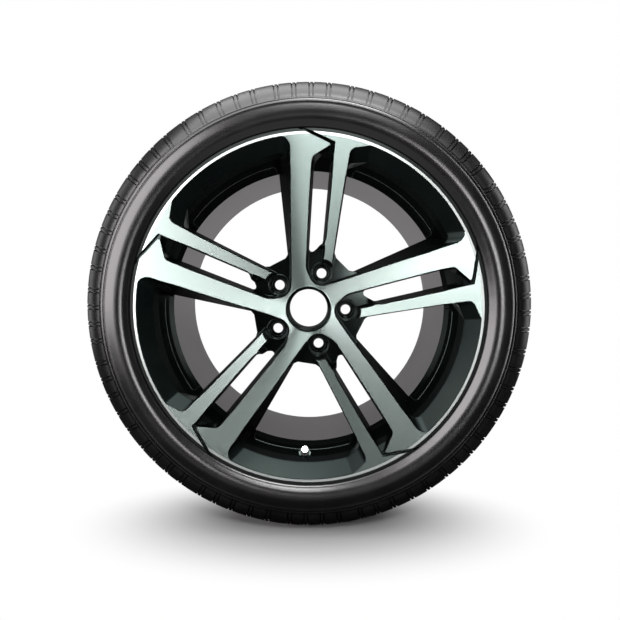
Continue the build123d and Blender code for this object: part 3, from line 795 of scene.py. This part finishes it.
def build_room():
    """World that camera rays see white, and other rays as a dark room, pale behind the wheel."""
    world = bpy.data.worlds.new("studio")
    bpy.context.scene.world = world
    world.use_nodes = True
    tree = world.node_tree
    tree.nodes.clear()
    rays = tree.nodes.new("ShaderNodeLightPath").outputs
    direction = add_node(tree, "TexCoord", {}, "Generated")
    along = add_node(tree, "SeparateXYZ", {"Vector": direction}, "Y")
    shade = ramp(tree, along, ROOM_DARK, ROOM_PALE, ROOM_PALE_FROM, ROOM_PALE_TO)
    strength = map_range(tree, rays["Is Glossy Ray"], start=0.0, end=1.0, low=1.0, high=ROOM_IN_GLOSS)
    room = add_node(tree, "Background", {"Color": shade, "Strength": strength}, "Background")
    white = add_node(tree, "Background", {"Color": (*WHITE, 1)}, "Background")
    mix = add_node(tree, "MixShader", {0: rays["Is Camera Ray"], 1: room, 2: white}, "Shader")
    feed(tree, tree.nodes.new("ShaderNodeOutputWorld").inputs["Surface"], mix)


def build_studio():
    for lamp in LAMPS:
        softbox(*lamp)
    build_room()


def falloff(tree, vector, start, end, low, high):
    """Value that runs smoothly from low to high with a vector's length."""
    away = vector_length(tree, vector)
    return map_range(tree, away, start, end, low, high, interpolation_type="SMOOTHSTEP")


def floor_finish():
    """Pale floor that shows its lit grey only in a patch under the tyre, a painted shadow in part; glossy
    rays see two glowing stretches, one in front dimmed over the patch and one behind, painted reflections.
    """
    made, tree = new_material("floor_white")
    set_shader(tree, {"Base Color": FLOOR_GREY, "Roughness": 0.8, "Specular IOR Level": 0.0})
    level = vector_with(tree, "MULTIPLY", object_coords(tree), (1, 1, 0))
    from_patch = vector_with(tree, "SUBTRACT", level, SHADOW_PATCH_MIDDLE)
    from_front = vector_with(tree, "SUBTRACT", level, GLOW_FRONT_MIDDLE)
    from_behind = vector_with(tree, "SUBTRACT", level, GLOW_BEHIND_MIDDLE)
    # The camera sees the lit grey floor only inside this patch, placed and sized for the tyre's contact
    # shadow: a painted shadow in part, as the shading inside it is real.
    patch = vector_with(tree, "DIVIDE", from_patch, SHADOW_PATCH_HALF)
    white = falloff(tree, patch, SHADOW_PATCH_CORE, 1.0, low=0.0, high=1.0)
    # For glossy rays the floor glows in a stretch in front, dimmed over the shadow patch, and in one behind:
    # painted reflections, as the floor is no lamp.
    front = falloff(tree, from_front, GLOW_FRONT_NEAR, GLOW_FRONT_FAR, GLOW_FRONT_STRENGTH, GLOW_FRONT_REST)
    behind = falloff(tree, from_behind, GLOW_BEHIND_NEAR, GLOW_BEHIND_FAR, GLOW_BEHIND_STRENGTH, high=0.0)
    rays = tree.nodes.new("ShaderNodeLightPath").outputs
    lit = tree.nodes["Principled BSDF"].outputs["BSDF"]
    seen = add_node(tree, "Emission", {}, "Emission")
    seen_share = arithmetic(tree, "MULTIPLY", rays["Is Camera Ray"], white)
    shown = add_node(tree, "MixShader", {0: seen_share, 1: lit, 2: seen}, "Shader")
    glow = arithmetic(tree, "ADD", arithmetic(tree, "MULTIPLY", front, white), behind)
    painted_reflection = add_node(tree, "Emission", {"Strength": glow}, "Emission")
    mix = add_node(tree, "MixShader", {0: rays["Is Glossy Ray"], 1: shown, 2: painted_reflection}, "Shader")
    feed(tree, tree.nodes["Material Output"].inputs["Surface"], mix)
    return made


def build_floor():
    mesh = bpy.data.meshes.new("floor")
    signs = ((-1, -1), (1, -1), (1, 1), (-1, 1))
    corners = [(FLOOR_HALF * x, FLOOR_HALF * y, FLOOR_Z) for x, y in signs]
    mesh.from_pydata(corners, [], [(0, 1, 2, 3)])
    mesh.materials.append(floor_finish())
    floor = bpy.data.objects.new("floor", mesh)
    bpy.context.scene.collection.objects.link(floor)


def build_camera():
    data = bpy.data.cameras.new("camera")
    data.sensor_width = CAMERA_SENSOR
    data.lens = CAMERA_SENSOR * FOCAL_PIXELS / PIXELS
    data.shift_x = (PIXELS / 2 - WHEEL_PIXEL[0]) / PIXELS
    data.shift_y = (WHEEL_PIXEL[1] - PIXELS / 2) / PIXELS
    data.clip_start = CAMERA_CLIP
    camera = bpy.data.objects.new("camera", data)
    level = CAMERA_DISTANCE * math.cos(CAMERA_RISE)
    camera.location = (
        level * math.sin(CAMERA_SWING),
        -level * math.cos(CAMERA_SWING),
        CAMERA_DISTANCE * math.sin(CAMERA_RISE),
    )
    camera.rotation_euler = (math.pi / 2 - CAMERA_RISE, 0, CAMERA_SWING)
    bpy.context.scene.collection.objects.link(camera)
    bpy.context.scene.camera = camera


dress_wheel()
build_edge_paint()
build_ridges()
build_bolt_rings()
build_tyre()
dress_valve()
build_studio()
build_floor()
build_camera()
bpy.context.scene.view_settings.view_transform = "Standard"

bpy.context.view_layer.update()
